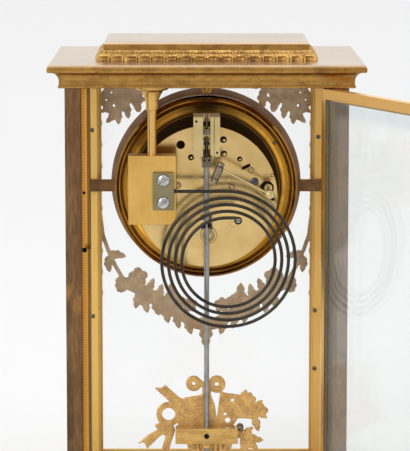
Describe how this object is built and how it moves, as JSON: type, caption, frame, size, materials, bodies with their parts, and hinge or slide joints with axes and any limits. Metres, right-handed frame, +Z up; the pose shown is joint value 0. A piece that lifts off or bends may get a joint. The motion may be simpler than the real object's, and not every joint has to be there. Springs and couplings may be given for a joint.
{
  "type": "four-glass mantel clock",
  "caption": "Glazed brass mantel clock with hinged bevelled-glass doors, a round striking movement, coiled gong, swinging ornamental pendulum and a leaf-banded stepped top",
  "frame": {"origin": "middle of the underside of the base", "axes": "+Z up, -Y towards the dial side, +Y towards the movement's back and the rear door"},
  "size_m": [0.2373, 0.2735, 0.3048],
  "materials": {
    "case_brass": "aged brass, darkened on the broad faces",
    "gilt": "gilt brass, satin",
    "movement_brass": "pale polished brass",
    "bright_steel": "plain steel",
    "blued_steel": "dark blued steel",
    "enamel": "white enamel",
    "clear_glass": "bevelled clear glass"
  },
  "bodies": {
    "case": {"base_plinth": "case_brass", "sole_plate": "bright_steel", "cornice": "case_brass", "leaf_plinth": "gilt", "top_cap": "case_brass", "cap_stud": "case_brass", "pillar_front_left": "case_brass", "pillar_front_right": "case_brass", "pillar_rear_left": "case_brass", "pillar_rear_right": "case_brass", "side_glass_left": "clear_glass", "side_glass_right": "clear_glass", "bezel_ring": "gilt", "movement_rim": "gilt", "bracket_left": "case_brass", "bracket_right": "case_brass", "dial": "enamel", "front_plate": "movement_brass", "back_plate": "movement_brass", "movement_pillars": "movement_brass", "suspension_bracket": "movement_brass", "suspension_chop": "bright_steel", "gong_post": "case_brass", "gong_block": "case_brass", "gong_clamp": "bright_steel", "gong_screws": "bright_steel", "gong_coil": "blued_steel"},
    "rear_door": {"rear_door_frame": "gilt", "rear_door_glass": "clear_glass", "rear_door_pins": "bright_steel", "rear_door_catch": "gilt"},
    "front_door": {"front_door_frame": "gilt", "front_door_glass": "clear_glass", "front_door_pins": "bright_steel", "front_door_catch": "gilt", "front_garland": "gilt", "garland_screws": "bright_steel"},
    "pendulum": {"suspension_spring": "bright_steel", "pendulum_rod": "bright_steel", "bob_block": "gilt", "rating_nut": "gilt", "bob_trophy": "gilt"},
    "escapement": {"pallets": "bright_steel", "crutch": "blued_steel"},
    "minute_arbor": {"centre_wheel": "movement_brass", "minute_hand": "blued_steel"},
    "hour_arbor": {"hour_wheel": "movement_brass", "hour_hand": "blued_steel"},
    "minute_work": {"minute_wheel": "movement_brass"},
    "going_drum": {"going_barrel": "movement_brass"},
    "second_arbor": {"intermediate_wheel": "movement_brass"},
    "third_arbor": {"third_wheel": "movement_brass"},
    "escape_arbor": {"escape_wheel": "bright_steel"},
    "striking_drum": {"strike_barrel": "movement_brass"},
    "pin_arbor": {"pin_wheel": "movement_brass"},
    "fly_arbor": {"fly": "movement_brass"},
    "hammer": {"hammer_arm": "blued_steel", "hammer_head": "bright_steel"}
  },
  "joints": [
    {"name": "rear_door_hinge", "type": "hinge", "parent": "case", "child": "rear_door", "pos_m": [-0.0718, 0.0645, 0.15], "axis": [0, 0, 1], "range_deg": [-116, 4]},
    {"name": "front_door_hinge", "type": "hinge", "parent": "case", "child": "front_door", "pos_m": [-0.0718, -0.0645, 0.15], "axis": [0, 0, -1], "range_deg": [0, 95]},
    {"name": "pendulum_swing", "type": "hinge", "parent": "case", "child": "pendulum", "pos_m": [0, 0.04, 0.2495], "axis": [0, 1, 0], "range_deg": [-4, 4]},
    {"name": "crutch_swing", "type": "hinge", "parent": "case", "child": "escapement", "pos_m": [0, 0, 0.24316], "axis": [0, 1, 0], "range_deg": [-4.6, 4.6]},
    {"name": "minute_turn", "type": "hinge", "parent": "case", "child": "minute_arbor", "pos_m": [0, 0, 0.2093], "axis": [0, 1, 0], "continuous": true},
    {"name": "hour_turn", "type": "hinge", "parent": "case", "child": "hour_arbor", "pos_m": [0, 0, 0.2093], "axis": [0, 1, 0], "continuous": true},
    {"name": "minute_work_turn", "type": "hinge", "parent": "case", "child": "minute_work", "pos_m": [0, 0, 0.2237], "axis": [0, 1, 0], "continuous": true},
    {"name": "going_barrel_turn", "type": "hinge", "parent": "case", "child": "going_drum", "pos_m": [0.016, 0, 0.1923], "axis": [0, 1, 0], "continuous": true},
    {"name": "second_turn", "type": "hinge", "parent": "case", "child": "second_arbor", "pos_m": [0.01557, 0, 0.2103], "axis": [0, 1, 0], "continuous": true},
    {"name": "third_turn", "type": "hinge", "parent": "case", "child": "third_arbor", "pos_m": [-0.01195, 0, 0.21933], "axis": [0, 1, 0], "continuous": true},
    {"name": "escape_turn", "type": "hinge", "parent": "case", "child": "escape_arbor", "pos_m": [0, 0, 0.22936], "axis": [0, 1, 0], "continuous": true},
    {"name": "strike_barrel_turn", "type": "hinge", "parent": "case", "child": "striking_drum", "pos_m": [-0.016, 0, 0.1923], "axis": [0, 1, 0], "continuous": true},
    {"name": "pin_wheel_turn", "type": "hinge", "parent": "case", "child": "pin_arbor", "pos_m": [-0.02999, 0, 0.20363], "axis": [0, 1, 0], "continuous": true},
    {"name": "fly_turn", "type": "hinge", "parent": "case", "child": "fly_arbor", "pos_m": [-0.02628, 0, 0.21504], "axis": [0, 1, 0], "continuous": true},
    {"name": "hammer_swing", "type": "hinge", "parent": "case", "child": "hammer", "pos_m": [-0.0376, 0, 0.2151], "axis": [0, 1, 0], "range_deg": [-10, 5], "stiffness_Nm_per_rad": 0.06}
  ],
  "couplings": [
    {"joint": "crutch_swing", "follows": "pendulum_swing", "ratio": 1.1291},
    {"joint": "hour_turn", "follows": "minute_turn", "ratio": 0.083333},
    {"joint": "minute_work_turn", "follows": "minute_turn", "ratio": -0.33333},
    {"joint": "going_barrel_turn", "follows": "minute_turn", "ratio": 0.047619},
    {"joint": "second_turn", "follows": "minute_turn", "ratio": -0.2381},
    {"joint": "third_turn", "follows": "minute_turn", "ratio": -4.2},
    {"joint": "escape_turn", "follows": "minute_turn", "ratio": 17.64},
    {"joint": "pin_wheel_turn", "follows": "strike_barrel_turn", "ratio": -5},
    {"joint": "fly_turn", "follows": "strike_barrel_turn", "ratio": 15}
  ]
}
